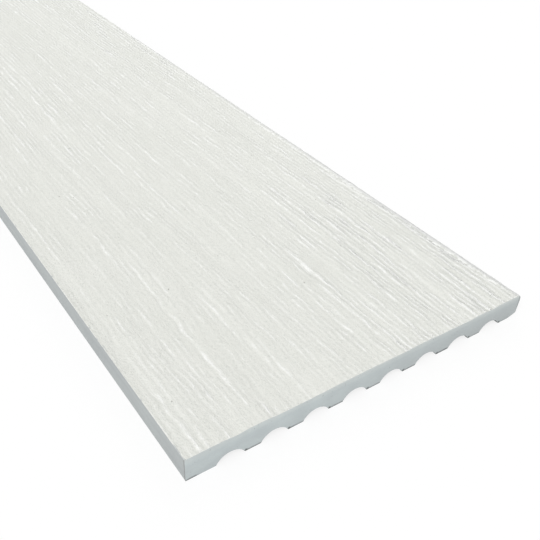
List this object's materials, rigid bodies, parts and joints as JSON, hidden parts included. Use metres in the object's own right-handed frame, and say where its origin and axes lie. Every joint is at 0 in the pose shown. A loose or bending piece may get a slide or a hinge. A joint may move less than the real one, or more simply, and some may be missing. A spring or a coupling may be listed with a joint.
{
  "type": "fibre cement trim board",
  "caption": "Long flat trim board of primed fibre cement with a woodgrain face and lengthwise scallops along its back, cut and nailed on as fascia, corner or door and window trim.",
  "frame": {"origin": "middle of the board's length and width, in the plane of the back's lands, which is the plane it lies on", "axes": "+X along the length towards the sawn end that shows, +Y across the width towards the eased long edge, +Z out of the woodgrain face"},
  "size_m": [3.6576, 0.2858, 0.0191],
  "materials": {
    "primed_fibre_cement": "off-white primer, satin, over an embossed woodgrain face; the back, the long edges and the sawn ends are plain and greyer"
  },
  "bodies": {
    "root": {"trim_board": "primed_fibre_cement"}
  },
  "joints": []
}
